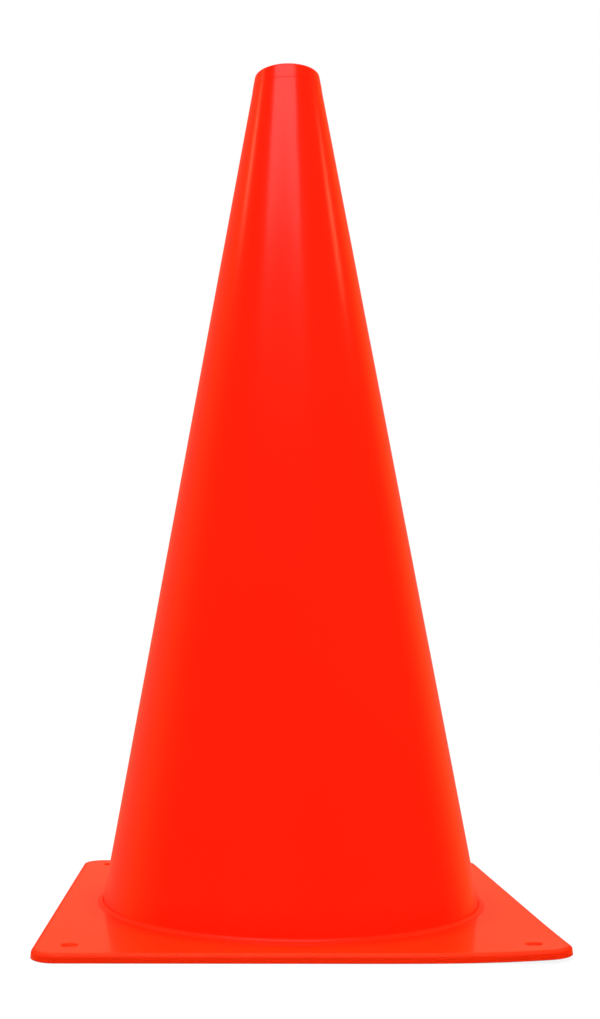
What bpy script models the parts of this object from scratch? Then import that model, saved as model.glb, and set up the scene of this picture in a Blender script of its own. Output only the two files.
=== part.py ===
"""Training cone: a hollow tapered body that stands up through a square foot plate.

The body is one thin shell, open at both ends. It goes up through the plate from
below until the lip round its foot seats in a rebate under the plate.
All sizes are in metres, +Z is up, and the cone stands on z = 0 with its axis on Z.
"""
import math

import bmesh
import bpy

# The body's outside. foot_radius is measured level with the plate's top.
overall_height = 0.380
foot_radius = 0.0815
top_radius = 0.0150
body_wall = 0.0022

# The band round the open top
band_height = 0.0070
band_step = 0.00025
rim_wall = 0.0026
rim_round = 0.0009

# The ribs inside the top. A stacked cone's rim stops on their feet, so cones don't jam.
stacking_pitch = 0.0220
stop_rib_count = 4
stop_rib_width = 0.0016
stop_rib_setback = 0.0001
stop_rib_head_drop = 0.0016

# The lip round the body's foot
lip_reach = 0.0042
lip_thickness = 0.0014
lip_round = 0.0005
lip_root_round = 0.0008

# The plate's outside. plate_margin runs from the body's foot to the plate's side.
plate_margin = 0.0185
plate_height = 0.0034
plate_corner_radius = 0.0100
plate_edge_round = 0.0011

# The plate's hollow underside
plate_skin = 0.0020
plate_rim_wall = 0.0026
seat_ring_wall = 0.0020
plate_rib_width = 0.0016
plate_rib_lift = 0.0004

# The collar that runs up from the plate to the body
collar_fillet = 0.0024
collar_lip = 0.0003

# The hollow corner feet
corner_foot_inset = 0.0138
corner_foot_radius = 0.0046
corner_recess_radius = 0.0027
corner_recess_depth = 0.0021

# Clearance between the two pieces, and the overrun of every cut and joined shape
seat_clearance = 0.0003
overrun = 0.0006

# Facets
turn_segments = 96
small_turn_segments = 24
corner_segments = 10
fillet_segments = 6
edge_segments = 4

# Edges that turn by more than this stay sharp
sharp_angle = math.radians(32)

body_taper = (foot_radius - top_radius) / (overall_height - plate_height)
taper_angle = math.atan(body_taper)
plate_half_side = foot_radius + plate_margin
foot_place = plate_half_side - corner_foot_inset


def clear_scene():
    """Empty the file, so the script can run again."""
    for thing in list(bpy.data.objects):
        bpy.data.objects.remove(thing, do_unlink=True)


def outer_radius(height):
    """Radius of the body's plain outer face at a height."""
    return foot_radius + (plate_height - height) * body_taper


def inner_radius(height):
    """Radius of the body's inner face at a height."""
    return outer_radius(height) - body_wall / math.cos(taper_angle)


def arc(centre, radius, start, end, segments):
    """Points of an arc in the (radius, height) plane, angles in degrees."""
    points = []
    for step in range(segments + 1):
        angle = math.radians(start + (end - start) * step / segments)
        across = centre[0] + radius * math.cos(angle)
        up = centre[1] + radius * math.sin(angle)
        points.append((across, up))
    return points


def finished_mesh(name, shape):
    """Turn the faces outward and store the shape as a mesh."""
    bmesh.ops.recalc_face_normals(shape, faces=shape.faces)
    mesh = bpy.data.meshes.new(name)
    shape.to_mesh(mesh)
    shape.free()
    return mesh


def turned_mesh(name, outline, ring=True):
    """Spin a (radius, height) outline round Z: a closed ring, or a solid with flat ends."""
    shape = bmesh.new()
    corners = [shape.verts.new((radius, 0, height)) for radius, height in outline]
    edges = [shape.edges.new(pair) for pair in zip(corners, corners[1:])]
    if ring:
        edges.append(shape.edges.new((corners[-1], corners[0])))
    bmesh.ops.spin(
        shape,
        geom=corners + edges,
        cent=(0, 0, 0),
        axis=(0, 0, 1),
        angle=2 * math.pi,
        steps=turn_segments,
        use_merge=True,
    )
    if not ring:
        rims = [edge for edge in shape.edges if edge.is_boundary]
        bmesh.ops.holes_fill(shape, edges=rims)
    return finished_mesh(name, shape)


def block(low, high):
    """A box between two opposite corners."""
    shape = bmesh.new()
    size = [top - bottom for bottom, top in zip(low, high)]
    middle = [(top + bottom) / 2 for bottom, top in zip(low, high)]
    bmesh.ops.create_cube(shape, size=1)
    bmesh.ops.scale(shape, vec=size, verts=shape.verts)
    bmesh.ops.translate(shape, vec=middle, verts=shape.verts)
    return shape


def round_edges(shape, edges, radius, segments):
    """Bevel some edges of a shape to a round of one radius."""
    bmesh.ops.bevel(
        shape,
        geom=edges,
        offset=radius,
        offset_type="OFFSET",
        segments=segments,
        profile=0.5,
        affect="EDGES",
        clamp_overlap=True,
    )


def rounded_slab(half_side, corner_radius, low, high):
    """A square slab with its four upright corners rounded."""
    shape = block((-half_side, -half_side, low), (half_side, half_side, high))
    upright = []
    for edge in shape.edges:
        start, end = edge.verts
        if start.co.x == end.co.x and start.co.y == end.co.y:
            upright.append(edge)
    round_edges(shape, upright, corner_radius, corner_segments)
    return shape


def short_peg(name, radius, low, high):
    """A short upright round peg."""
    shape = bmesh.new()
    bmesh.ops.create_cone(
        shape,
        cap_ends=True,
        segments=small_turn_segments,
        radius1=radius,
        radius2=radius,
        depth=high - low,
    )
    bmesh.ops.translate(shape, vec=(0, 0, (low + high) / 2), verts=shape.verts)
    return finished_mesh(name, shape)


def plastic(name, colour, roughness):
    """Coloured moulded plastic."""
    material = bpy.data.materials.new(name)
    material.use_nodes = True
    shader = material.node_tree.nodes["Principled BSDF"]
    shader.inputs["Base Color"].default_value = (*colour, 1)
    shader.inputs["Roughness"].default_value = roughness
    shader.inputs["Metallic"].default_value = 0
    material.diffuse_color = (*colour, 1)
    return material


def add_piece(name, mesh, material):
    """Put a piece in the scene in its material."""
    piece = bpy.data.objects.new(name, mesh)
    bpy.context.collection.objects.link(piece)
    mesh.materials.append(material)
    return piece


def change_with(piece, operation, name, mesh, place=(0, 0, 0), turn=0):
    """Cut a guide shape out of a piece, or join it on, and keep the guide as wire."""
    guide = bpy.data.objects.new(name, mesh)
    bpy.context.collection.objects.link(guide)
    guide.location = place
    guide.rotation_euler.z = turn
    guide.hide_render = True
    guide.display_type = "WIRE"
    change = piece.modifiers.new(name, "BOOLEAN")
    change.object = guide
    change.operation = operation
    change.solver = "EXACT"


def shade(mesh):
    """Smooth the round faces and keep the real edges."""
    mesh.shade_smooth()
    mesh.set_sharp_from_angle(angle=sharp_angle)


def body_outline():
    """Section of the body's wall: over the rim, down the outside, round the lip."""
    top_outer = outer_radius(overall_height) + band_step
    top_inner = top_outer - rim_wall
    rounding = min(rim_round, rim_wall / 2)
    rounding_height = overall_height - rounding
    band_foot = overall_height - band_height
    points = arc((top_inner + rounding, rounding_height), rounding, 180, 90, edge_segments)
    points += arc((top_outer - rounding, rounding_height), rounding, 90, 0, edge_segments)
    points.append((outer_radius(band_foot) + band_step, band_foot))
    points.append((outer_radius(band_foot - band_step), band_foot - band_step))

    root_height = lip_thickness + lip_root_round
    root_centre = outer_radius(root_height) + lip_root_round / math.cos(taper_angle)
    facing = 180 + math.degrees(taper_angle)
    points += arc((root_centre, root_height), lip_root_round, facing, 270, edge_segments)

    lip_outer = outer_radius(0) + lip_reach
    edge = min(lip_round, lip_thickness / 2)
    points += arc((lip_outer - edge, lip_thickness - edge), edge, 90, 0, edge_segments)
    points.append((lip_outer, 0))
    points.append((inner_radius(0), 0))
    points.append((inner_radius(band_foot), band_foot))
    return points


def stop_rib_mesh():
    """One stop rib: a thin fin whose straight inner edge is in line with the top hole."""
    hole_radius = outer_radius(overall_height) + band_step - rim_wall
    near = hole_radius + stop_rib_setback
    bury = body_wall / 2
    band_foot = overall_height - band_height
    head = overall_height - rim_round - stop_rib_head_drop
    foot = overall_height - stacking_pitch
    outline = [
        (near, foot),
        (inner_radius(foot) + bury, foot),
        (inner_radius(band_foot) + bury, band_foot),
        (near + bury, head),
        (near, head),
    ]
    shape = bmesh.new()
    side = [shape.verts.new((x, -stop_rib_width / 2, z)) for x, z in outline]
    face = shape.faces.new(side)
    grown = bmesh.ops.extrude_face_region(shape, geom=[face])
    moved = [item for item in grown["geom"] if isinstance(item, bmesh.types.BMVert)]
    bmesh.ops.translate(shape, vec=(0, stop_rib_width, 0), verts=moved)
    return finished_mesh("stop_rib", shape)


def build_body(material):
    """The tapered shell with its band, lip and stop ribs."""
    mesh = turned_mesh("cone_body", body_outline())
    body = add_piece("cone_body", mesh, material)
    rib = stop_rib_mesh()
    for index in range(stop_rib_count):
        turn = 2 * math.pi * index / stop_rib_count
        change_with(body, "UNION", f"stop_rib_{index + 1}", rib, turn=turn)
    shade(mesh)


def collar_mesh():
    """The collar: a hollow fillet that runs up from the plate's top to the body."""
    lip_offset = (seat_clearance + collar_lip) / math.cos(taper_angle)
    centre_height = plate_height + collar_fillet
    face_radius = outer_radius(centre_height) + lip_offset
    centre_radius = face_radius + collar_fillet / math.cos(taper_angle)
    facing = 180 + math.degrees(taper_angle)
    points = arc((centre_radius, centre_height), collar_fillet, 270, facing, fillet_segments)
    tip_height = points[-1][1]
    root_height = plate_height - overrun
    points.append((outer_radius(tip_height) - overrun, tip_height))
    points.append((outer_radius(root_height) - overrun, root_height))
    points.append((centre_radius, root_height))
    return turned_mesh("collar", points)


def body_passage_mesh():
    """The tapered hole for the body, with the rebate for its lip underneath."""
    gap = seat_clearance / math.cos(taper_angle)
    rebate_radius = outer_radius(0) + lip_reach + seat_clearance
    rebate_top = lip_thickness + seat_clearance
    relief_top = rebate_top + lip_root_round
    ceiling = plate_height + collar_fillet + overrun
    outline = [
        (rebate_radius, -overrun),
        (rebate_radius, rebate_top),
        (outer_radius(rebate_top) + gap + lip_root_round, rebate_top),
        (outer_radius(relief_top) + gap, relief_top),
        (outer_radius(ceiling) + gap, ceiling),
    ]
    return turned_mesh("body_passage", outline, ring=False)


def seat_ring_mesh():
    """The ring under the plate that walls in the rebate."""
    inside = outer_radius(0) + lip_reach
    outside = inside + seat_clearance + seat_ring_wall
    top = plate_height - plate_skin / 2
    return turned_mesh("seat_ring", [(inside, 0), (outside, 0), (outside, top), (inside, top)])


def plate_rib_mesh(name, reach):
    """One rib under the plate, from the seat ring out along +X."""
    near = outer_radius(0) + lip_reach + seat_clearance + seat_ring_wall / 2
    side = plate_rib_width / 2
    top = plate_height - plate_skin / 2
    return finished_mesh(name, block((near, -side, plate_rib_lift), (reach, side, top)))


def plate_blank_mesh():
    """The plate's outside: a rounded square slab with its top edge rounded."""
    shape = rounded_slab(plate_half_side, plate_corner_radius, 0, plate_height)
    top_face = max(shape.faces, key=lambda face: face.calc_center_median().z)
    round_edges(shape, list(top_face.edges), min(plate_edge_round, plate_skin), edge_segments)
    return finished_mesh("base_plate", shape)


def hollow_underside(plate):
    """Sink the underside between the plate's rim, seat ring, ribs and corner feet."""
    pocket_half = plate_half_side - plate_rim_wall
    pocket_corner = plate_corner_radius - plate_rim_wall
    pocket = rounded_slab(pocket_half, pocket_corner, -overrun, plate_height - plate_skin)
    change_with(plate, "DIFFERENCE", "underside_pocket", finished_mesh("underside_pocket", pocket))
    change_with(plate, "UNION", "seat_ring", seat_ring_mesh())
    side_rib = plate_rib_mesh("side_rib", plate_half_side - plate_rim_wall / 2)
    corner_rib = plate_rib_mesh("corner_rib", math.hypot(foot_place, foot_place))
    for quarter in range(4):
        turn = math.radians(90 * quarter)
        change_with(plate, "UNION", f"side_rib_{quarter + 1}", side_rib, turn=turn)
        turn += math.radians(45)
        change_with(plate, "UNION", f"corner_rib_{quarter + 1}", corner_rib, turn=turn)


def add_corner_feet(plate):
    """A round foot under each corner, hollow from above."""
    foot = short_peg("corner_foot", corner_foot_radius, 0, plate_height - plate_skin / 2)
    floor = plate_height - corner_recess_depth
    recess = short_peg("corner_recess", corner_recess_radius, floor, plate_height + overrun)
    places = [(x, y, 0) for x in (-foot_place, foot_place) for y in (-foot_place, foot_place)]
    for number, place in enumerate(places, start=1):
        change_with(plate, "UNION", f"corner_foot_{number}", foot, place=place)
        change_with(plate, "DIFFERENCE", f"corner_recess_{number}", recess, place=place)


def build_plate(material):
    """The square plate, with the collar and the seat for the body."""
    mesh = plate_blank_mesh()
    plate = add_piece("base_plate", mesh, material)
    hollow_underside(plate)
    add_corner_feet(plate)
    change_with(plate, "UNION", "collar", collar_mesh())
    change_with(plate, "DIFFERENCE", "body_passage", body_passage_mesh())
    shade(mesh)


clear_scene()
build_body(plastic("body_orange", (1.0, 0.016, 0.003), 0.28))
build_plate(plastic("plate_orange", (1.0, 0.020, 0.004), 0.18))
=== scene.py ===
# %% [markdown]
# # A training cone
#
# The real cone is a thin hollow shell of glossy soft plastic that stands up through a
# square foot plate. This lesson dresses the plain CAD model of it: first the camera, then
# the two pieces with all their small rounds, then the plastic, the floor and the light.
# The CAD model comes first, because every size below has to agree with it.

# %% Load the CAD model
import math

import bmesh
import bpy
import numpy as np
from mathutils import Euler, Matrix, Vector


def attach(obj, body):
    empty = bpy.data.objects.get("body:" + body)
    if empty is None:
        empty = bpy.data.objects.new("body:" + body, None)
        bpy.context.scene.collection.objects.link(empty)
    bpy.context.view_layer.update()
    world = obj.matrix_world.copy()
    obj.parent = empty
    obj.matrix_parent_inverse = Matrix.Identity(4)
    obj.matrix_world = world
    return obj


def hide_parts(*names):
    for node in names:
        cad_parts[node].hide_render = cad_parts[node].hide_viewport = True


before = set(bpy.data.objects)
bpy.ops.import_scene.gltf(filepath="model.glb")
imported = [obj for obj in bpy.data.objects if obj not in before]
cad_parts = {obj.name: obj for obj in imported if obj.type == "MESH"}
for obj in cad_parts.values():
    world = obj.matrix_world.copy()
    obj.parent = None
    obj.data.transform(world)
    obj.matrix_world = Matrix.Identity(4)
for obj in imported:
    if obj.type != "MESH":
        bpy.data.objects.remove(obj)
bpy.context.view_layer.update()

# %% [markdown]
# ## The camera
#
# The photograph was taken from low down and close by, looking slightly up, and the picture
# was then cropped with more room on its right. A camera that is simply turned would skew
# the cone, so the frame is moved sideways with the lens shift, as the crop did. The places
# and angles come from fitting the cone's outline and the plate's four sides.

# %% Place the camera
photo_width = 600
photo_height = 1019
lens_in_pixels = 1250
lens_axis_from_left = 225.73
camera_place = Vector((-0.03097, -0.56356, 0.11320))
camera_heading = math.radians(0.258)
camera_pitch = math.radians(6.257)
camera_roll = math.radians(0.143)


def add_object(name, data):
    """Put a camera, a mesh or a lamp in the scene as an object at the origin."""
    added = bpy.data.objects.new(name, data)
    bpy.context.collection.objects.link(added)
    return added


def add_camera():
    """A camera whose frame is the photograph's, looking along +Y."""
    data = bpy.data.cameras.new("photo_camera")
    data.sensor_fit = "AUTO"
    data.sensor_width = 36
    data.lens = lens_in_pixels * data.sensor_width / photo_height
    data.shift_x = (photo_width / 2 - lens_axis_from_left) / photo_height
    camera = add_object("photo_camera", data)
    aim = Euler((math.radians(90) + camera_pitch, 0, -camera_heading)).to_matrix()
    turned = aim @ Matrix.Rotation(camera_roll, 3, "Z")
    camera.matrix_world = Matrix.Translation(camera_place) @ turned.to_4x4()
    return camera


camera = add_camera()
bpy.context.scene.camera = camera
print("lens", round(camera.data.lens, 2), "mm, shift", round(camera.data.shift_x, 4))

# %% [markdown]
# ## Small helpers for node trees
#
# Both the shapes and the plastic are made with node trees. Each tree is built here in the
# script, so that its sizes have names and can be changed in one place. These helpers keep
# that building readable: one makes a tree with its named sockets, one places a node and
# feeds its sockets, and the others place what comes back often.

# %% Node tree helpers
shape_socket = ("Geometry", "Geometry")


def new_tree(name, kind, takes, gives):
    """A node tree with named sockets (name, kind, and perhaps a value), and its inputs."""
    tree = bpy.data.node_groups.new(name, kind)
    for in_out, sockets in (("INPUT", takes), ("OUTPUT", gives)):
        for label, socket_kind, *value in sockets:
            socket = tree.interface.new_socket(
                name=label, in_out=in_out, socket_type=f"NodeSocket{socket_kind}"
            )
            if value:
                socket.default_value = value[0]
    return tree, place(tree, "NodeGroupInput").outputs


def place(tree, kind, feeds=None, **settings):
    """Add a node. feeds maps its sockets to plain values or to other nodes' outputs."""
    node = tree.nodes.new(kind)
    for label, setting in settings.items():
        setattr(node, label, setting)
    for socket, value in (feeds or {}).items():
        if isinstance(value, bpy.types.NodeSocket):
            tree.links.new(value, node.inputs[socket])
        else:
            node.inputs[socket].default_value = value
    return node


def calc(tree, operation, first, second=0.0):
    """The result of a Math node."""
    return place(tree, "ShaderNodeMath", {0: first, 1: second}, operation=operation).outputs[0]


def effect(tree, group, feeds):
    """A shared shader group in a material."""
    return place(tree, "ShaderNodeGroup", feeds, node_tree=group).outputs[0]


def finish_tree(tree, given, shape):
    """End a geometry tree: real geometry, the plastic on it, and the output."""
    real = place(tree, "GeometryNodeRealizeInstances", {0: shape})
    feeds = {"Geometry": real.outputs[0], "Material": given["Plastic"]}
    coated = place(tree, "GeometryNodeSetMaterial", feeds)
    place(tree, "NodeGroupOutput", {"Geometry": coated.outputs[0]})
    return tree


# %% [markdown]
# ## Turning a tree's result into a plain mesh
#
# A Geometry Nodes modifier is live, and the later steps want plain meshes. So each piece
# is made by its tree once, the result is copied out of the evaluated object, and the
# modifier goes. The modifier's inputs are found by their identifiers, because the names
# are only labels. A Weighted Normal step afterwards lets the large faces decide how the
# light falls. Without it, every small round would tilt the shading of the flats beside it.

# %% Bake a tree into a mesh
merge_distance = 0.000002
sharp_angle = math.radians(40)


def run_tree(piece, tree, values):
    """Run a geometry tree on a piece, and keep the result as the piece's plain mesh."""
    modifier = piece.modifiers.new("shape", "NODES")
    modifier.node_group = tree
    for item in tree.interface.items_tree:
        if item.in_out == "INPUT" and item.name in values:
            modifier[item.identifier] = values[item.name]
    bake(piece)


def bake(piece):
    """Swap a piece's mesh for what its modifiers make of it."""
    bpy.context.view_layer.update()
    depsgraph = bpy.context.evaluated_depsgraph_get()
    mesh = bpy.data.meshes.new_from_object(piece.evaluated_get(depsgraph))
    mesh.name = piece.name
    piece.modifiers.clear()
    piece.data = mesh


def mesh_from(name, shape):
    """Close a bmesh into a mesh, with its faces turned outward."""
    bmesh.ops.recalc_face_normals(shape, faces=shape.faces)
    mesh = bpy.data.meshes.new(name)
    shape.to_mesh(mesh)
    shape.free()
    return mesh


def finish_shading(piece):
    """Smooth the rounds, keep the real edges, and let the large faces stay flat."""
    shape = bmesh.new()
    shape.from_mesh(piece.data)
    bmesh.ops.remove_doubles(shape, verts=shape.verts, dist=merge_distance)
    bmesh.ops.recalc_face_normals(shape, faces=shape.faces)
    shape.to_mesh(piece.data)
    shape.free()
    piece.data.shade_smooth()
    piece.data.set_sharp_from_angle(angle=sharp_angle)
    weighting = piece.modifiers.new("flat_faces", "WEIGHTED_NORMAL")
    weighting.keep_sharp = True
    weighting.weight = 100
    bake(piece)
    print(piece.name, len(piece.data.polygons), "faces")


# %% [markdown]
# ## The body's section
#
# The body is the same all the way round, so its shape is one section, turned about the
# upright axis. The section follows the CAD model, with finer steps: a straight slope, a
# band round the open top, and a lip at the foot. Each corner carries its own rounding radius
# as an attribute called round, and the tree below rounds the corners from it. Extra
# points every few millimetres up the slope give the surface something to bend at, because
# such thin walls are never quite straight.

# %% The body's sizes and section
overall_height = 0.380
foot_radius = 0.0815
top_radius = 0.0150
plate_height = 0.0034
body_wall = 0.0022
band_height = 0.0070
band_step = 0.00012
rim_wall = 0.0026
lip_reach = 0.0042
lip_thickness = 0.0014
slope_spacing = 0.006

body_taper = (foot_radius - top_radius) / (overall_height - plate_height)
wall_across = body_wall / math.cos(math.atan(body_taper))


def outer_radius(height):
    """Radius of the body's plain outside at a height."""
    return foot_radius + (plate_height - height) * body_taper


def slope_heights(low, high):
    """Evenly spaced heights between two, both left out."""
    count = round((high - low) / slope_spacing)
    return [low + (high - low) * step / count for step in range(1, count)]


def body_section():
    """Corners of the body's section as (radius, height, rounding)."""
    band_foot = overall_height - band_height
    top_outer = outer_radius(overall_height) + band_step
    corners = [
        (top_outer - rim_wall, overall_height, 0.0010),
        (top_outer, overall_height, 0.0010),
        (outer_radius(band_foot) + band_step, band_foot, 0.00012),
        (outer_radius(band_foot - band_step), band_foot - band_step, 0.0002),
    ]
    slope = slope_heights(lip_thickness, band_foot - band_step)
    corners += [(outer_radius(height), height, 0) for height in reversed(slope)]
    corners += [
        (outer_radius(lip_thickness), lip_thickness, 0.0008),
        (outer_radius(0) + lip_reach, lip_thickness, 0.0005),
        (outer_radius(0) + lip_reach, 0, 0.0003),
        (outer_radius(0) - wall_across, 0, 0.0004),
    ]
    slope = slope_heights(0, band_foot)
    corners += [(outer_radius(height) - wall_across, height, 0) for height in slope]
    corners.append((outer_radius(band_foot) - wall_across, band_foot, 0.0015))
    return corners


def section_mesh(name, corners):
    """A closed line through the corners, in the XZ plane, with its rounding attribute."""
    mesh = bpy.data.meshes.new(name)
    places = [(radius, 0, height) for radius, height, rounding in corners]
    count = len(corners)
    mesh.from_pydata(places, [(start, (start + 1) % count) for start in range(count)], [])
    rounding = mesh.attributes.new("round", "FLOAT", "POINT")
    rounding.data.foreach_set("value", [corner[2] for corner in corners])
    return mesh


section = body_section()
print("the body's section has", len(section), "corners")

# %% [markdown]
# ## Repeats round the axis
#
# The stop ribs inside the top, and the ribs and feet under the plate, all repeat four
# times round the axis. One small tree makes that repeat from a single copy, so a change
# to the copy changes all four. It ends in Realize Instances, because instances are lost
# when the model is exported.

# %% A tree that repeats a shape round the axis
def repeat_tree():
    """Copies of an object's shape, turned evenly about Z."""
    tree, given = new_tree(
        "repeat round the axis",
        "GeometryNodeTree",
        [("Shape", "Object"), ("Count", "Int", 4)],
        [shape_socket],
    )
    shape = place(tree, "GeometryNodeObjectInfo", {"Object": given["Shape"]})
    points = place(tree, "GeometryNodePoints", {"Count": given["Count"]})
    index = place(tree, "GeometryNodeInputIndex").outputs[0]
    share = calc(tree, "DIVIDE", index, given["Count"])
    turn = calc(tree, "MULTIPLY", share, 2 * math.pi)
    turning = place(tree, "ShaderNodeCombineXYZ", {"Z": turn})
    feeds = {"Points": points.outputs[0], "Instance": shape.outputs["Geometry"]}
    copies = place(tree, "GeometryNodeInstanceOnPoints", feeds)
    tree.links.new(turning.outputs[0], copies.inputs["Rotation"])
    real = place(tree, "GeometryNodeRealizeInstances", {0: copies.outputs[0]})
    place(tree, "NodeGroupOutput", {"Geometry": real.outputs[0]})
    return tree


round_the_axis = repeat_tree()

# %% [markdown]
# ## The body
#
# The tree turns the section into the body. It rounds the section's corners, sweeps the
# section round a circle with Curve to Mesh, and pushes the wall in and out by a few
# hundredths of a millimetre with noise, as the moulded wall of a real cone is. Then it
# joins on the ribs. A Screw modifier could turn the section too, but it can't round each
# corner by its own radius.

# %% The body's tree
def body_tree():
    """Round a section's corners, turn it about Z, make the wall slightly uneven."""
    tree, given = new_tree(
        "tapered body",
        "GeometryNodeTree",
        [
            shape_socket,
            ("Turn Radius", "Float", 0.05),
            ("Turn Steps", "Int", 300),
            ("Rounding Steps", "Int", 5),
            ("Wave Depth", "Float", 0.00006),
            ("Wave Length", "Float", 0.04),
            ("Wave Seed", "Float", 3.0),
            ("Rib", "Object"),
            ("Rib Count", "Int", 4),
            ("Plastic", "Material"),
        ],
        [shape_socket],
    )
    shell = turned_shell(tree, given)
    wavy = uneven_wall(tree, given, shell)
    feeds = {"Shape": given["Rib"], "Count": given["Rib Count"]}
    ribs = place(tree, "GeometryNodeGroup", feeds, node_tree=round_the_axis)
    joined = place(tree, "GeometryNodeMeshBoolean", operation="UNION", solver="EXACT")
    tree.links.new(wavy, joined.inputs["Mesh 2"])
    tree.links.new(ribs.outputs[0], joined.inputs["Mesh 2"])
    return finish_tree(tree, given, joined.outputs[0])


def turned_shell(tree, given):
    """The section, with its corners rounded, swept round a circle."""
    line = place(tree, "GeometryNodeMeshToCurve", {"Mesh": given["Geometry"]})
    position = place(tree, "GeometryNodeInputPosition").outputs[0]
    spot = place(tree, "ShaderNodeSeparateXYZ", {0: position})
    across = calc(tree, "SUBTRACT", spot.outputs["X"], given["Turn Radius"])
    down = calc(tree, "MULTIPLY", spot.outputs["Z"], -1.0)
    flat = place(tree, "ShaderNodeCombineXYZ", {"X": across, "Y": down})
    feeds = {"Geometry": line.outputs[0], "Position": flat.outputs[0]}
    laid = place(tree, "GeometryNodeSetPosition", feeds).outputs[0]
    named = place(tree, "GeometryNodeInputNamedAttribute", {"Name": "round"}, data_type="FLOAT")
    feeds = {"Curve": laid, "Radius": named.outputs["Attribute"], "Limit Radius": True}
    rounded = place(tree, "GeometryNodeFilletCurve", feeds, mode="POLY")
    tree.links.new(given["Rounding Steps"], rounded.inputs["Count"])
    circle = place(tree, "GeometryNodeCurvePrimitiveCircle", {"Radius": given["Turn Radius"]})
    tree.links.new(given["Turn Steps"], circle.inputs["Resolution"])
    feeds = {"Curve": circle.outputs["Curve"], "Profile Curve": rounded.outputs[0]}
    return place(tree, "GeometryNodeCurveToMesh", feeds).outputs[0]


def uneven_wall(tree, given, shell):
    """The shell with its wall moved in and out by slow noise."""
    spot = place(tree, "GeometryNodeInputPosition").outputs[0]
    start = place(tree, "ShaderNodeCombineXYZ", {"X": given["Wave Seed"]})
    feeds = {0: spot, 1: start.outputs[0]}
    moved = place(tree, "ShaderNodeVectorMath", feeds, operation="ADD").outputs[0]
    scale = calc(tree, "DIVIDE", 1.0, given["Wave Length"])
    noise = place(tree, "ShaderNodeTexNoise", {"Vector": moved, "Scale": scale, "Detail": 1.0})
    centred = calc(tree, "SUBTRACT", noise.outputs["Fac"], 0.5)
    push = calc(tree, "MULTIPLY", calc(tree, "MULTIPLY", centred, 2.0), given["Wave Depth"])
    facing = place(tree, "GeometryNodeInputNormal").outputs[0]
    shift = place(tree, "ShaderNodeVectorMath", {0: facing, "Scale": push}, operation="SCALE")
    feeds = {"Geometry": shell, "Offset": shift.outputs[0]}
    return place(tree, "GeometryNodeSetPosition", feeds).outputs[0]


# %% [markdown]
# ## The stop ribs
#
# Cones are stacked, and without a stop they would jam. Four thin fins inside the top, one
# on each axis, stop the rim of the cone below. The fin is one flat outline, thickened and
# with its free edges bevelled.

# %% The rib and the finished body
stacking_pitch = 0.0220
rib_width = 0.0016
rib_edge_round = 0.0003
rib_set_back = 0.0001
rib_top_depth = 0.0025
wave_depth = 0.00006


def stop_rib():
    """One fin on +X, its outer side buried in the wall."""
    band_foot = overall_height - band_height
    near = outer_radius(overall_height) + band_step - rim_wall + rib_set_back
    foot = overall_height - stacking_pitch
    head = overall_height - rib_top_depth
    bury = body_wall / 2
    outline = [
        (near, foot),
        (outer_radius(foot) - wall_across + bury, foot),
        (outer_radius(band_foot) - wall_across + bury, band_foot),
        (near + bury, head),
        (near, head),
    ]
    shape = bmesh.new()
    side = [shape.verts.new((x, -rib_width / 2, z)) for x, z in outline]
    grown = bmesh.ops.extrude_face_region(shape, geom=[shape.faces.new(side)])
    moved = [item for item in grown["geom"] if isinstance(item, bmesh.types.BMVert)]
    bmesh.ops.translate(shape, vec=(0, rib_width, 0), verts=moved)
    bmesh.ops.bevel(
        shape, geom=list(shape.edges), offset=rib_edge_round, segments=2, profile=0.5,
        affect="EDGES",
    )
    return mesh_from("stop_rib", shape)


def make_body():
    """The tapered body, as one plain closed mesh."""
    piece = add_object("tapered_body", section_mesh("section", section))
    rib = add_object("stop_rib", stop_rib())
    run_tree(piece, body_tree(), {"Rib": rib, "Wave Depth": wave_depth})
    bpy.data.objects.remove(rib)
    finish_shading(piece)
    return piece


body = make_body()
body_size = [round(1000 * side, 1) for side in body.dimensions]
print("the body measures", body_size, "mm")

# %% [markdown]
# ## The foot plate's rings
#
# The plate is round inside, where the body comes through, and square outside. It is made
# of closed rings, each with the same number of points, joined ring to ring like the hoops
# of a barrel. Round rings make the collar and the seat, rounded squares make the rim, and
# the flat between them goes over from one to the other. This gives clean four-sided faces
# and full control of each small round, which a Boolean of primitives can't give.

# %% The plate's sizes and rings
plate_half_side = 0.1000
plate_corner_radius = 0.0100
plate_edge_round = 0.0015
plate_edge_draft = 6
plate_foot_round = 0.0003
guard_inset = 0.00005
guard_rise = 0.0002
plate_skin = 0.0020
plate_rim_wall = 0.0026
seat_ring_wall = 0.0020
seat_clearance = 0.00012
collar_fillet = 0.0015
collar_lip = 0.0001
fine_round = 0.0003
fine_bevel = 0.0001
seat_relief = 0.0008
least_corner = 0.0005
points_per_side = 72
points_per_corner = 16
round_steps = 5


def square_ring(inset):
    """Points of the plate's outline moved inward by an inset, from the +X side on."""
    half = plate_half_side - inset
    radius = max(plate_corner_radius - inset, least_corner)
    straight = half - radius
    points = []
    for quarter in range(4):
        for step in range(points_per_side):
            points.append((half, straight * (2 * step / points_per_side - 1), quarter))
        for step in range(points_per_corner):
            angle = math.radians(90 * step / points_per_corner)
            spot = (straight + radius * math.cos(angle), straight + radius * math.sin(angle))
            points.append((*spot, quarter))
    ring = []
    for across, along, quarter in points:
        spot = Vector((across, along))
        spot.rotate(Matrix.Rotation(math.radians(90 * quarter), 2))
        ring.append(spot)
    return ring


directions = [spot.normalized() for spot in square_ring(0)]


def round_ring(radius):
    """Points of a circle, each in the direction of the outline's point."""
    return [direction * radius for direction in directions]


def mixed_ring(radius, inset, share):
    """A ring part of the way from a circle to the plate's outline."""
    pairs = zip(round_ring(radius), square_ring(inset))
    return [inner.lerp(outer, share) for inner, outer in pairs]


print("each ring of the plate has", len(directions), "points")

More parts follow.
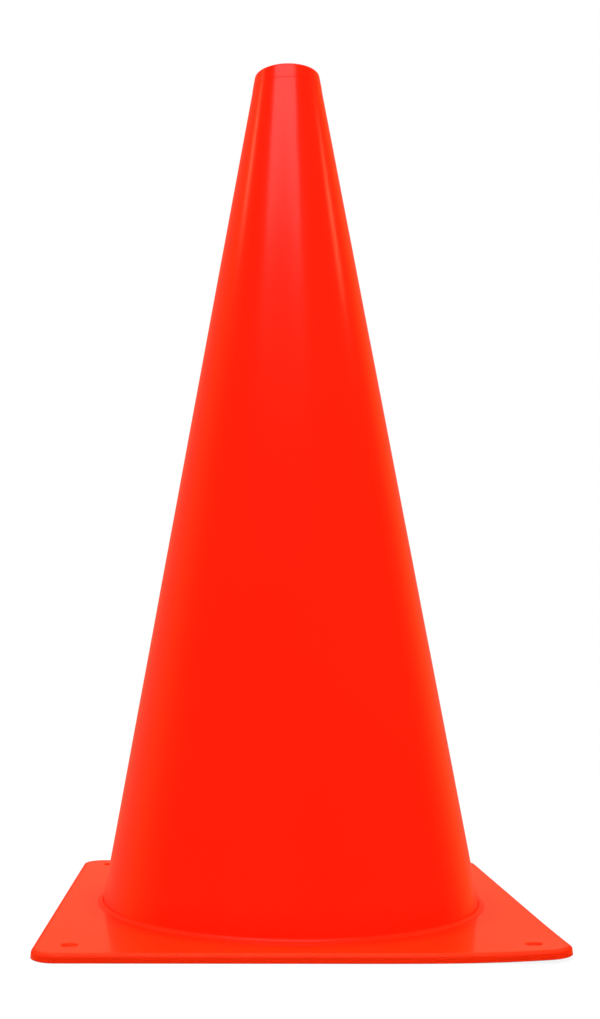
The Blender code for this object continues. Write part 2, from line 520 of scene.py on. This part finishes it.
# %% [markdown]
# ## The foot plate's section
#
# The rings follow the plate's section once round: up the collar's fillet, out over the
# top, round the edge, under the rim, through the hollow underside, round the seat ring
# and back up the passage for the body.

# %% The plate's section, ring by ring
def arc(centre, radius, start, end, steps=round_steps):
    """Points of an arc in the (radius, height) plane, angles in degrees."""
    points = []
    for step in range(steps + 1):
        angle = math.radians(start + (end - start) * step / steps)
        spot = (centre[0] + radius * math.cos(angle), centre[1] + radius * math.sin(angle))
        points.append(spot)
    return points


def collar_rings():
    """From the collar's thin lip down its fillet to the plate's top."""
    slope = math.atan(body_taper)
    lip = (seat_clearance + collar_lip) / math.cos(slope)
    centre_height = plate_height + collar_fillet
    centre_radius = outer_radius(centre_height) + lip + collar_fillet / math.cos(slope)
    centre = (centre_radius, centre_height)
    points = arc(centre, collar_fillet, 180 + math.degrees(slope), 270, 8)
    rings = [(round_ring(radius), height) for radius, height in points]
    return rings, points[0][1], centre_radius


def top_and_rim_rings(collar_radius):
    """From the collar out over the top, round the edge and under the rim."""
    edge = plate_edge_round
    draft = math.radians(plate_edge_draft)
    side_top = plate_height - edge * (1 - math.sin(draft))
    run_out = (side_top - plate_foot_round) * math.tan(draft)
    start = run_out + edge * math.cos(draft)
    rings = []
    for share in (0.02, 0.25, 0.5, 0.75, 0.96, 1.0):
        rings.append((mixed_ring(collar_radius, start, share), plate_height))
    for out, up in arc((0, plate_height - edge), edge, 90, plate_edge_draft, 8)[1:]:
        rings.append((square_ring(start - out), up))
    rings.append((square_ring(guard_inset), plate_foot_round + guard_rise))
    for out, up in arc((0, plate_foot_round), plate_foot_round, 0, -90):
        rings.append((square_ring(plate_foot_round - out), up))
    return rings


def pocket_rings():
    """From the rim's underside up into the hollow underside, and in to the seat ring."""
    ceiling = plate_height - plate_skin
    wall = plate_rim_wall
    rings = []
    for out, up in arc((wall - fine_round, fine_round), fine_round, -90, 0, 3):
        rings.append((square_ring(out), up))
    for out, up in arc((wall + fine_round, ceiling - fine_round), fine_round, 180, 90, 3):
        rings.append((square_ring(out), up))
    ring_outer = outer_radius(0) + lip_reach + seat_clearance + seat_ring_wall
    for share in (0.97, 0.7, 0.4, 0.15):
        rings.append((mixed_ring(ring_outer + fine_round, wall + fine_round, share), ceiling))
    for radius, up in arc((ring_outer + fine_round, ceiling - fine_round), fine_round, 90, 180, 3):
        rings.append((round_ring(radius), up))
    for radius, up in arc((ring_outer - fine_round, fine_round), fine_round, 0, -90, 3):
        rings.append((round_ring(radius), up))
    return rings


def seat_rings(tip_height):
    """Up inside the seat ring, over the lip's rebate, and up the body's passage."""
    gap = seat_clearance / math.cos(math.atan(body_taper))
    rebate_radius = outer_radius(0) + lip_reach + seat_clearance
    rebate_top = lip_thickness + seat_clearance
    relief_top = rebate_top + seat_relief
    corners = arc((rebate_radius + fine_round, fine_round), fine_round, 270, 180, 3)
    corners += [
        (rebate_radius, rebate_top - fine_bevel),
        (rebate_radius - fine_bevel, rebate_top),
        (outer_radius(rebate_top) + gap + seat_relief, rebate_top),
        (outer_radius(relief_top) + gap, relief_top),
        (outer_radius(tip_height) + gap, tip_height - fine_bevel),
        (outer_radius(tip_height) + gap + fine_bevel, tip_height),
    ]
    return [(round_ring(radius), height) for radius, height in corners]


def plate_blank():
    """Join the rings into one closed mesh."""
    collar, tip_height, collar_radius = collar_rings()
    rings = collar + top_and_rim_rings(collar_radius) + pocket_rings()
    rings += seat_rings(tip_height)
    shape = bmesh.new()
    hoops = []
    for ring, height in rings:
        hoops.append([shape.verts.new((*spot, height)) for spot in ring])
    count = len(directions)
    for inner, outer in zip(hoops, hoops[1:] + hoops[:1]):
        for near in range(count):
            far = (near + 1) % count
            shape.faces.new((inner[near], inner[far], outer[far], outer[near]))
    print("the plate has", len(hoops), "rings")
    return mesh_from("square_plate", shape)


# %% [markdown]
# ## Under the plate
#
# A flat sheet this thin would bend, so the hollow underside has ribs: four to the middles
# of the sides and four to the corners, where small round feet stand. From above, each
# foot shows as a shallow round recess, which is the small dark mark near each corner of
# the plate. One quarter of all this is modelled and repeated round the axis.

# %% One quarter of the ribs, and the recess
foot_inset = 0.0138
foot_radius_below = 0.0046
recess_radius = 0.0028
recess_depth = 0.0009
recess_mouth_round = 0.0008
recess_floor_round = 0.0003
cutter_overrun = 0.001
plate_rib_width = 0.0016
plate_rib_lift = 0.0004
plate_rib_round = 0.00035
foot_edge_round = 0.0004
foot_place = plate_half_side - foot_inset


def rib_block(shape, near, far, turn):
    """A rib from one radius to another, turned about Z."""
    made = bmesh.ops.create_cube(shape, size=1)["verts"]
    low = plate_rib_lift
    high = plate_height - plate_skin / 2
    bmesh.ops.scale(shape, vec=(far - near, plate_rib_width, high - low), verts=made)
    bmesh.ops.translate(shape, vec=((far + near) / 2, 0, (high + low) / 2), verts=made)
    lower = [edge for edge in shape.edges if edge.verts[0] in made and edge.verts[1] in made]
    lower = [edge for edge in lower if max(end.co.z for end in edge.verts) < plate_skin / 2]
    along = [edge for edge in lower if abs(edge.verts[0].co.x - edge.verts[1].co.x) > 0.001]
    grown = bmesh.ops.bevel(
        shape, geom=along, offset=plate_rib_round, segments=2, profile=0.5, affect="EDGES"
    )
    made = {end for end in made if end.is_valid} | set(grown["verts"])
    bmesh.ops.rotate(shape, matrix=Matrix.Rotation(turn, 3, "Z"), verts=list(made))


def turned_solid(shape, section_points, centre):
    """A solid of revolution about an upright axis through a centre, closed at both ends."""
    corners = [shape.verts.new((radius, 0, height)) for radius, height in section_points]
    edges = [shape.edges.new(pair) for pair in zip(corners, corners[1:])]
    bmesh.ops.spin(
        shape, geom=corners + edges, cent=(0, 0, 0), axis=(0, 0, 1),
        angle=2 * math.pi, steps=40, use_merge=True,
    )
    bmesh.ops.remove_doubles(shape, verts=shape.verts, dist=merge_distance)
    bmesh.ops.holes_fill(shape, edges=[edge for edge in shape.edges if edge.is_boundary])
    bmesh.ops.translate(shape, vec=(*centre, 0), verts=shape.verts)


def quarter_of_ribs():
    """A rib to the side, a rib to the corner, as one loose group of solids."""
    shape = bmesh.new()
    near = outer_radius(0) + lip_reach + seat_clearance + seat_ring_wall / 2
    rib_block(shape, near, plate_half_side - plate_rim_wall / 2, 0)
    rib_block(shape, near, math.hypot(foot_place, foot_place), math.radians(45))
    return mesh_from("plate_ribs", shape)


def corner_foot():
    """One round foot with a rounded bottom edge."""
    shape = bmesh.new()
    top = plate_height - plate_skin / 2
    edge = foot_edge_round
    outline = arc((foot_radius_below - edge, edge), edge, -90, 0, 4)
    outline.append((foot_radius_below, top))
    turned_solid(shape, outline, (foot_place, foot_place))
    return mesh_from("corner_foot", shape)


def corner_recess():
    """The cutter for one recess: a flared mouth with a rounded edge, and a soft floor."""
    shape = bmesh.new()
    mouth = recess_mouth_round
    floor = plate_height - recess_depth
    inner = recess_floor_round
    outline = [(recess_radius + mouth, plate_height + cutter_overrun)]
    outline += arc((recess_radius + mouth, plate_height - mouth), mouth, 90, 180, 5)
    outline += arc((recess_radius - inner, floor + inner), inner, 0, -90, 4)
    turned_solid(shape, outline, (foot_place, foot_place))
    return mesh_from("corner_recess", shape)


# %% [markdown]
# ## The plate's tree
#
# The tree joins the repeated ribs and feet onto the plate and sinks the recesses. The
# order matters: the feet go on first, so that each recess is cut into its foot too.

# %% The plate's tree
def plate_tree():
    """Join the ribs and feet to the plate, and cut the recesses."""
    tree, given = new_tree(
        "square plate",
        "GeometryNodeTree",
        [
            shape_socket,
            ("Ribs", "Object"),
            ("Foot", "Object"),
            ("Recess", "Object"),
            ("Count", "Int", 4),
            ("Plastic", "Material"),
        ],
        [shape_socket],
    )
    repeats = {}
    for label in ("Ribs", "Foot", "Recess"):
        feeds = {"Shape": given[label], "Count": given["Count"]}
        repeat = place(tree, "GeometryNodeGroup", feeds, node_tree=round_the_axis)
        repeats[label] = repeat.outputs[0]
    ribbed = place(tree, "GeometryNodeMeshBoolean", operation="UNION", solver="EXACT")
    tree.links.new(given["Geometry"], ribbed.inputs["Mesh 2"])
    tree.links.new(repeats["Ribs"], ribbed.inputs["Mesh 2"])
    tree.links.new(repeats["Foot"], ribbed.inputs["Mesh 2"])
    cut = place(tree, "GeometryNodeMeshBoolean", operation="DIFFERENCE", solver="EXACT")
    tree.links.new(ribbed.outputs[0], cut.inputs["Mesh 1"])
    tree.links.new(repeats["Recess"], cut.inputs["Mesh 2"])
    return finish_tree(tree, given, cut.outputs[0])


# %% [markdown]
# ## The bent corner
#
# The right front corner of the photographed cone is bent up and in a little. The corner's
# points are moved along with how far out they lie on the diagonal, gently at first and
# more towards the tip. The curl stops well short of the body, so its seat stays round.

# %% Bend the corner and finish the plate
curl_from = 0.120
curl_to = 0.194
curl_up = 0.0015
curl_in = 0.0010


def curl_corner(piece):
    """Bend the right front corner up and in a little, as on the photographed cone."""
    places = np.empty(3 * len(piece.data.vertices))
    piece.data.vertices.foreach_get("co", places)
    points = places.reshape(-1, 3)
    out = (points @ np.array((1.0, -1.0, 0.0)) - curl_from) / (curl_to - curl_from)
    share = np.clip(out, 0, 1) ** 3
    bent = points + share[:, None] * np.array((-curl_in, curl_in, curl_up))
    piece.data.vertices.foreach_set("co", bent.ravel())


def make_plate():
    """The foot plate, as one plain closed mesh."""
    piece = add_object("square_plate", plate_blank())
    guides = {
        "Ribs": add_object("plate_ribs", quarter_of_ribs()),
        "Foot": add_object("corner_foot", corner_foot()),
        "Recess": add_object("corner_recess", corner_recess()),
    }
    run_tree(piece, plate_tree(), guides)
    for guide in guides.values():
        bpy.data.objects.remove(guide)
    curl_corner(piece)
    finish_shading(piece)
    return piece


plate = make_plate()
plate_size = [round(1000 * side, 1) for side in plate.dimensions]
print("the plate measures", plate_size, "mm")

# %% [markdown]
# ## Where the edges are
#
# Handled plastic goes pale and dull first along its edges. The material needs to know
# where they are, so each point stores a number called edge, from 0 on the flats to 1 on a
# tight outward round. It comes from the angle between the faces that meet there. Points
# on long faces are left at 0, or their number would smear along the face.

# %% Store the edges on the pieces
longest_side = 0.003
edge_from = 0.06
edge_range = 0.20


def mark_edges(piece):
    """Store 0 on flats and hollows, up to 1 on tight outward rounds."""
    shape = bmesh.new()
    shape.from_mesh(piece.data)
    values = []
    for point in shape.verts:
        angles = [edge.calc_face_angle_signed(0) for edge in point.link_edges]
        sides = [edge.calc_length() for face in point.link_faces for edge in face.edges]
        sharpest = max(angles) if max(sides) < longest_side else 0
        values.append(min(max((sharpest - edge_from) / edge_range, 0), 1))
    shape.free()
    edge = piece.data.attributes.new("edge", "FLOAT", "POINT")
    edge.data.foreach_set("value", values)
    print(piece.name, "has", sum(value > 0.5 for value in values), "points on tight edges")


mark_edges(body)
mark_edges(plate)

# %% [markdown]
# ## Effects that the plastics share
#
# Both pieces are the same kind of soft glossy plastic, so its small effects are built once
# as node groups and used in both materials with different values. Each takes the place on
# the object in metres, so that its sizes are real ones, and gives back only a colour, a
# mask or a height. The shader itself stays in each material.

# %% Noise at a real size, and slow colour drift
def noise_at(tree, spot, size, detail=2.0):
    """Noise whose blotches are about size metres across."""
    scale = calc(tree, "DIVIDE", 1.0, size)
    feeds = {"Vector": spot, "Scale": scale, "Detail": detail}
    return place(tree, "ShaderNodeTexNoise", feeds).outputs["Fac"]


def ramp_of(tree, value, low, high, out_low=0.0, out_high=1.0):
    """A value taken from one range to another, with soft ends."""
    feeds = {"Value": value, "From Min": low, "From Max": high}
    node = place(tree, "ShaderNodeMapRange", feeds, interpolation_type="SMOOTHSTEP")
    node.inputs["To Min"].default_value = out_low
    node.inputs["To Max"].default_value = out_high
    return node.outputs["Result"]


def stretched_upright(tree, spot, times):
    """A place whose height counts less, so that a pattern on it is drawn out upright."""
    parts = place(tree, "ShaderNodeSeparateXYZ", {0: spot}).outputs
    upright = calc(tree, "DIVIDE", parts["Z"], times)
    feeds = {"X": parts["X"], "Y": parts["Y"], "Z": upright}
    return place(tree, "ShaderNodeCombineXYZ", feeds).outputs[0]


def mix_colours(tree, share, first, second):
    """Two colours mixed by a share."""
    feeds = {0: share, 6: first, 7: second}
    return place(tree, "ShaderNodeMix", feeds, data_type="RGBA").outputs[2]


def colour_drift_group():
    """The pigment isn't mixed quite evenly, so the colour drifts between two tones."""
    tree, given = new_tree(
        "colour drift",
        "ShaderNodeTree",
        [
            ("Place", "Vector"),
            ("Colour", "Color"),
            ("Deeper Colour", "Color"),
            ("Cloud Size", "Float", 0.06),
            ("Amount", "Float", 0.5),
        ],
        [("Colour", "Color")],
    )
    clouds = ramp_of(tree, noise_at(tree, given["Place"], given["Cloud Size"]), 0.3, 0.7)
    share = calc(tree, "MULTIPLY", clouds, given["Amount"])
    colour = mix_colours(tree, share, given["Colour"], given["Deeper Colour"])
    place(tree, "NodeGroupOutput", {"Colour": colour})
    return tree


# %% The skin of a moulding
def moulded_skin_group():
    """Height of a moulded skin: fine orange peel and slow upright pull marks."""
    tree, given = new_tree(
        "moulded skin",
        "ShaderNodeTree",
        [
            ("Place", "Vector"),
            ("Peel Size", "Float", 0.0009),
            ("Peel Height", "Float", 0.3),
            ("Pull Size", "Float", 0.009),
            ("Pull Stretch", "Float", 5.0),
            ("Pull Height", "Float", 1.0),
        ],
        [("Height", "Float")],
    )
    peel = noise_at(tree, given["Place"], given["Peel Size"])
    drawn = stretched_upright(tree, given["Place"], given["Pull Stretch"])
    pull = noise_at(tree, drawn, given["Pull Size"], 1.0)
    peel = calc(tree, "MULTIPLY", peel, given["Peel Height"])
    pull = calc(tree, "MULTIPLY", pull, given["Pull Height"])
    place(tree, "NodeGroupOutput", {"Height": calc(tree, "ADD", peel, pull)})
    return tree


# %% Rub marks and worn edges
def rub_marks_group():
    """A mask of upright hairlines, where stacked cones have slid over each other."""
    tree, given = new_tree(
        "rub marks",
        "ShaderNodeTree",
        [
            ("Place", "Vector"),
            ("Line Width", "Float", 0.0008),
            ("Line Stretch", "Float", 40.0),
            ("Patch Size", "Float", 0.025),
        ],
        [("Mask", "Float")],
    )
    drawn = stretched_upright(tree, given["Place"], given["Line Stretch"])
    lines = ramp_of(tree, noise_at(tree, drawn, given["Line Width"], 0.0), 0.62, 0.75)
    patches = ramp_of(tree, noise_at(tree, given["Place"], given["Patch Size"]), 0.50, 0.65)
    place(tree, "NodeGroupOutput", {"Mask": calc(tree, "MULTIPLY", lines, patches)})
    return tree


def worn_edge_group():
    """A mask of wear: the stored edge, broken up by small noise."""
    tree, given = new_tree(
        "worn edge",
        "ShaderNodeTree",
        [
            ("Place", "Vector"),
            ("Edge", "Float", 0.0),
            ("Patch Size", "Float", 0.004),
        ],
        [("Mask", "Float")],
    )
    patches = ramp_of(tree, noise_at(tree, given["Place"], given["Patch Size"]), 0.40, 0.65)
    place(tree, "NodeGroupOutput", {"Mask": calc(tree, "MULTIPLY", given["Edge"], patches)})
    return tree


def foot_shade_group():
    """A mask for painted shade in the corner between body and plate, fading out along both of
    them.
    """
    tree, given = new_tree(
        "foot corner",
        "ShaderNodeTree",
        [
            ("Place", "Vector"),
            ("Foot Radius", "Float", outer_radius(plate_height)),
            ("Foot Height", "Float", plate_height),
            ("Reach", "Float", 0.013),
        ],
        [("Mask", "Float")],
    )
    parts = place(tree, "ShaderNodeSeparateXYZ", {0: given["Place"]}).outputs
    flat = place(tree, "ShaderNodeCombineXYZ", {"X": parts["X"], "Y": parts["Y"]}).outputs[0]
    radius = place(tree, "ShaderNodeVectorMath", {0: flat}, operation="LENGTH").outputs["Value"]
    out = calc(tree, "SUBTRACT", radius, given["Foot Radius"])
    up = calc(tree, "SUBTRACT", parts["Z"], given["Foot Height"])
    offset = place(tree, "ShaderNodeCombineXYZ", {"X": out, "Y": up}).outputs[0]
    away = place(tree, "ShaderNodeVectorMath", {0: offset}, operation="LENGTH").outputs["Value"]
    near = calc(tree, "MULTIPLY", given["Reach"], 0.1)
    mask = ramp_of(tree, away, near, given["Reach"], 1.0, 0.0)
    place(tree, "NodeGroupOutput", {"Mask": mask})
    return tree


colour_drift = colour_drift_group()
moulded_skin = moulded_skin_group()
rub_marks = rub_marks_group()
worn_edge = worn_edge_group()
foot_shade = foot_shade_group()
print("shared effects:", [tree.name for tree in bpy.data.node_groups])

# %% [markdown]
# ## The two plastics
#
# The cone's orange-red is so strong that almost no green or blue comes back from it, so
# what little grey shows is all gloss. That is why the roughness and the studio matter
# more here than the colour. The plate is moulded flatter and shinier than the body. It is
# the same plastic, but its colour is written lighter in green, as painted light for the
# stronger light from above on its top. In the corner between the two both are painted a
# little darker, as painted shade, and the collar's fillet is dull, so that the body runs
# softly into the plate.

# %% Build the plastics
worn_pale = (1, 0.5, 0.4)
worn_share = 0.02
wear_cover = 0.5
rubbed_dull = 0.03
edge_dull = 0.8
corner_tightness = 40
plastic_index = 1.5


def plastic(
    name, colour, deeper, shaded, roughness, corner_dull, peel_height, pull_height, bump_distance
):
    """Glossy coloured plastic: moulded skin, scuffs, worn edges, painted shade where body meets
    plate.
    """
    material = bpy.data.materials.new(name)
    material.use_nodes = True
    material.diffuse_color = (*colour, 1)
    tree = material.node_tree
    shader = tree.nodes["Principled BSDF"]
    spot = place(tree, "ShaderNodeTexCoord").outputs["Object"]

    colours = {"Colour": (*colour, 1), "Deeper Colour": (*deeper, 1)}
    finish = effect(tree, colour_drift, {"Place": spot, **colours})
    edge = place(tree, "ShaderNodeAttribute", attribute_name="edge").outputs["Fac"]
    wear = effect(tree, worn_edge, {"Place": spot, "Edge": edge})
    worn = [(1 - worn_share) * plain + worn_share * pale for plain, pale in zip(colour, worn_pale)]
    share = calc(tree, "MULTIPLY", wear, wear_cover)
    finish = mix_colours(tree, share, finish, (*worn, 1))
    # painted shade: in the corner between body and plate the colour is mixed towards the darker
    # shaded colour
    corner = effect(tree, foot_shade, {"Place": spot})
    finish = mix_colours(tree, corner, finish, (*shaded, 1))
    tree.links.new(finish, shader.inputs["Base Color"])

    rubbed = calc(tree, "MAXIMUM", effect(tree, rub_marks, {"Place": spot}), wear)
    dull = calc(tree, "MULTIPLY", rubbed, rubbed_dull)
    dull = calc(tree, "ADD", dull, calc(tree, "MULTIPLY", edge, edge_dull))
    tight = calc(tree, "POWER", corner, corner_tightness)
    dull = calc(tree, "ADD", dull, calc(tree, "MULTIPLY", tight, corner_dull))
    tree.links.new(calc(tree, "ADD", dull, roughness), shader.inputs["Roughness"])

    heights = {"Peel Height": peel_height, "Pull Height": pull_height}
    skin = effect(tree, moulded_skin, {"Place": spot, **heights})
    feeds = {"Height": skin, "Strength": 1.0, "Distance": bump_distance}
    relief = place(tree, "ShaderNodeBump", feeds)
    tree.links.new(relief.outputs["Normal"], shader.inputs["Normal"])
    shader.inputs["IOR"].default_value = plastic_index
    return material


body_plastic = plastic(
    "body_plastic",
    colour=(0.95, 0.0125, 0.0024),
    deeper=(0.90, 0.0110, 0.0021),
    shaded=(0.90, 0.0100, 0.0016),
    roughness=0.22,
    corner_dull=0.0,
    peel_height=0.15,
    pull_height=1.0,
    bump_distance=0.00006,
)
# painted light: the plate is the body's plastic, its colour written lighter in green for the
# stronger light from above on its top
plate_plastic = plastic(
    "plate_plastic",
    colour=(0.95, 0.0230, 0.0025),
    deeper=(0.91, 0.0208, 0.0022),
    shaded=(0.88, 0.0110, 0.0013),
    roughness=0.13,
    corner_dull=0.25,
    peel_height=0.15,
    pull_height=0.7,
    bump_distance=0.00004,
)

# %% [markdown]
# ## Dress the model
#
# The finished pieces stand for the CAD pieces, which are only kept for collisions, and
# both move with the model's one body.

# %% Put the finishes on and swap the pieces in
for piece, node, slot, material in (
    (body, "cone_body", "body_orange", body_plastic),
    (plate, "base_plate", "plate_orange", plate_plastic),
):
    piece.data.materials.clear()
    piece.data.materials.append(material)
    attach(piece, "root")
    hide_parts(node)
    print(piece.name, "stands for", node)

# %% [markdown]
# ## The floor
#
# The cone stands on a pale floor that runs out to white. A floor that is lit to white
# would burn out the plastic too. So the floor shows the camera mostly its own white and
# only a part of its lit colour, which keeps the soft shadow under the plate. That part
# fades out further away, so that the floor runs into the white background. The plastic
# doesn't see the floor at all: its light would lie on the red as a grey veil.

# %% Make the floor
floor_radius = 4.0
floor_gap = 0.0001
white_colour = (1, 1, 1, 1)
floor_colour = (0.86, 0.86, 0.86, 1)
floor_lit_share = 0.12
floor_fade_from = 0.20
floor_fade_to = 0.80


def add_floor():
    """A round pale floor just under the plate."""
    shape = bmesh.new()
    bmesh.ops.create_circle(shape, cap_ends=True, radius=floor_radius, segments=96)
    bmesh.ops.translate(shape, vec=(0, 0, -floor_gap), verts=shape.verts)
    floor = add_object("floor", mesh_from("floor", shape))
    material = bpy.data.materials.new("pale_floor")
    material.use_nodes = True
    tree = material.node_tree
    lit = tree.nodes["Principled BSDF"]
    lit.inputs["Base Color"].default_value = floor_colour
    lit.inputs["Roughness"].default_value = 0.9
    lit.inputs["Specular IOR Level"].default_value = 0
    seen = place(tree, "ShaderNodeEmission", {"Color": white_colour, "Strength": 1.0})
    camera_ray = place(tree, "ShaderNodeLightPath").outputs["Is Camera Ray"]
    spot = place(tree, "ShaderNodeTexCoord").outputs["Object"]
    away = place(tree, "ShaderNodeVectorMath", {0: spot}, operation="LENGTH").outputs["Value"]
    white = ramp_of(tree, away, floor_fade_from, floor_fade_to, 1 - floor_lit_share, 1.0)
    share = calc(tree, "MULTIPLY", camera_ray, white)
    mixed = place(tree, "ShaderNodeMixShader", {0: share, 1: lit.outputs[0], 2: seen.outputs[0]})
    tree.links.new(mixed.outputs[0], tree.nodes["Material Output"].inputs["Surface"])
    floor.data.materials.append(material)
    floor.visible_glossy = False
    floor.visible_diffuse = False
    return floor


add_floor()

# %% [markdown]
# ## The studio
#
# The world does two jobs. To the camera, and to anything that mirrors or bends light, it
# is plain white. To the plastic's colour it is almost dark, because an even light from
# everywhere would lie on the red as a grey veil. The lamps below light it instead.

# %% The world
fill_level = 0.03


def add_world():
    """White to look at, and nearly dark for everything else."""
    world = bpy.data.worlds.new("studio")
    world.use_nodes = True
    tree = world.node_tree
    tree.nodes.clear()
    path = place(tree, "ShaderNodeLightPath").outputs
    seen = calc(tree, "MAXIMUM", path["Is Camera Ray"], path["Is Glossy Ray"])
    seen = calc(tree, "MAXIMUM", seen, path["Is Transmission Ray"])
    fill = place(tree, "ShaderNodeBackground", {"Color": white_colour, "Strength": fill_level})
    white = place(tree, "ShaderNodeBackground", {"Color": white_colour, "Strength": 1.0})
    mixed = place(tree, "ShaderNodeMixShader", {0: seen, 1: fill.outputs[0], 2: white.outputs[0]})
    place(tree, "ShaderNodeOutputWorld", {"Surface": mixed.outputs[0]})
    bpy.context.scene.world = world


add_world()

# %% [markdown]
# ## What the gloss mirrors
#
# Glossy plastic shows the room. In the photograph the room is dark behind the camera and
# warm behind the cone, or the red would look washed out. A tall round curtain stands in
# for that room. It is black in front and brightest at the back, a little more so on the
# left, and more orange at the sides than at the back. Only mirror rays see it, so it takes
# no light from the cone and never shows in the picture.

# %% The studio curtain
curtain_radius = 1.8
curtain_height = 3.2
curtain_depth = 1.6
curtain_back = (1.0, 0.26, 0.145)
curtain_sides = (1.0, 0.34, 0.060)
curtain_level = 0.80
curtain_lean = 0.16
level_shares = (-0.10, 0.65)
colour_shares = (0.50, 0.85)


def add_curtain():
    """A round curtain that only reflections see, black in front and warm at the back."""
    shape = bmesh.new()
    bmesh.ops.create_cone(
        shape, cap_ends=True, segments=64, radius1=curtain_radius, radius2=curtain_radius,
        depth=curtain_height + curtain_depth,
    )
    middle = (curtain_height - curtain_depth) / 2
    bmesh.ops.translate(shape, vec=(0, 0, middle), verts=shape.verts)
    curtain = add_object("studio_curtain", mesh_from("studio_curtain", shape))
    material = bpy.data.materials.new("studio_curtain")
    material.use_nodes = True
    tree = material.node_tree
    tree.nodes.clear()
    spot = place(tree, "ShaderNodeTexCoord").outputs["Object"]
    parts = place(tree, "ShaderNodeSeparateXYZ", {0: spot}).outputs
    lean = calc(tree, "MULTIPLY", parts["X"], curtain_lean)
    depth = calc(tree, "SUBTRACT", parts["Y"], lean)
    start, end = (share * curtain_radius for share in level_shares)
    level = ramp_of(tree, depth, start, end, 0.0, curtain_level)
    start, end = (share * curtain_radius for share in colour_shares)
    behind = ramp_of(tree, depth, start, end)
    colour = mix_colours(tree, behind, (*curtain_sides, 1), (*curtain_back, 1))
    cloth = place(tree, "ShaderNodeEmission", {"Color": colour, "Strength": level})
    place(tree, "ShaderNodeOutputMaterial", {"Surface": cloth.outputs[0]})
    curtain.data.materials.append(material)
    for ray in ("camera", "diffuse", "transmission", "volume_scatter", "shadow"):
        setattr(curtain, f"visible_{ray}", False)
    return curtain


add_curtain()

# %% [markdown]
# ## The lamps
#
# A softbox high in front draws the pale streak on the upper body, and a warm strip on each
# side draws the two thin ones near its edges. The other lamps stand all round the cone.
# They light its colour and aren't mirrored in its gloss.

# %% Add the lamps
left_strip_colour = (1.0, 0.95, 0.55)
right_strip_colour = (1.0, 0.93, 0.42)


def add_lamp(name, azimuth, elevation, distance, size, level, mirrored=True):
    """A soft lamp aimed at the cone. level is how bright its face is, and white is 1."""
    data = bpy.data.lights.new(name, "AREA")
    data.shape = "RECTANGLE"
    data.size, data.size_y = size
    data.energy = level * math.pi * data.size * data.size_y
    lamp = add_object(name, data)
    aim = Vector((0, 0, overall_height / 2))
    around = math.radians(azimuth)
    rise = math.radians(elevation)
    flat = math.cos(rise)
    away = Vector((math.sin(around) * flat, -math.cos(around) * flat, math.sin(rise)))
    lamp.location = aim + distance * away
    lamp.rotation_euler = away.to_track_quat("Z", "Y").to_euler()
    lamp.visible_camera = False
    lamp.visible_glossy = mirrored
    data.cycles.use_multiple_importance_sampling = mirrored
    return lamp


# azimuth 0 is the camera's side, and positive is to the right
lamps = [
    add_lamp("front_softbox", -12, 58, 1.4, (1.25, 0.7), 1.75),
    add_lamp("left_strip", -101, 39.5, 1.4, (0.12, 0.18), 2.9),
    add_lamp("right_strip", 94, 36, 1.4, (0.11, 0.19), 3.5),
    add_lamp("front_soft_lamp", -5, 4, 1.6, (1.6, 1.6), 3.1, mirrored=False),
    add_lamp("left_soft_lamp", -105, 10, 1.5, (1.6, 1.6), 2.7, mirrored=False),
    add_lamp("right_soft_lamp", 95, 10, 1.5, (1.6, 1.6), 3.2, mirrored=False),
    add_lamp("back_soft_lamp", 175, 14, 1.5, (1.6, 1.6), 2.2, mirrored=False),
    add_lamp("top_soft_lamp", 0, 80, 1.5, (1.6, 1.6), 4.6, mirrored=False),
]
lamps[1].data.color = left_strip_colour
lamps[2].data.color = right_strip_colour
print("lamps:", [lamp.name for lamp in lamps])

# %% [markdown]
# ## Colour handling
#
# The picture is stored plainly, with no film look, so that the colours come out as they
# are written.

# %% Finish
bpy.context.scene.view_settings.view_transform = "Standard"
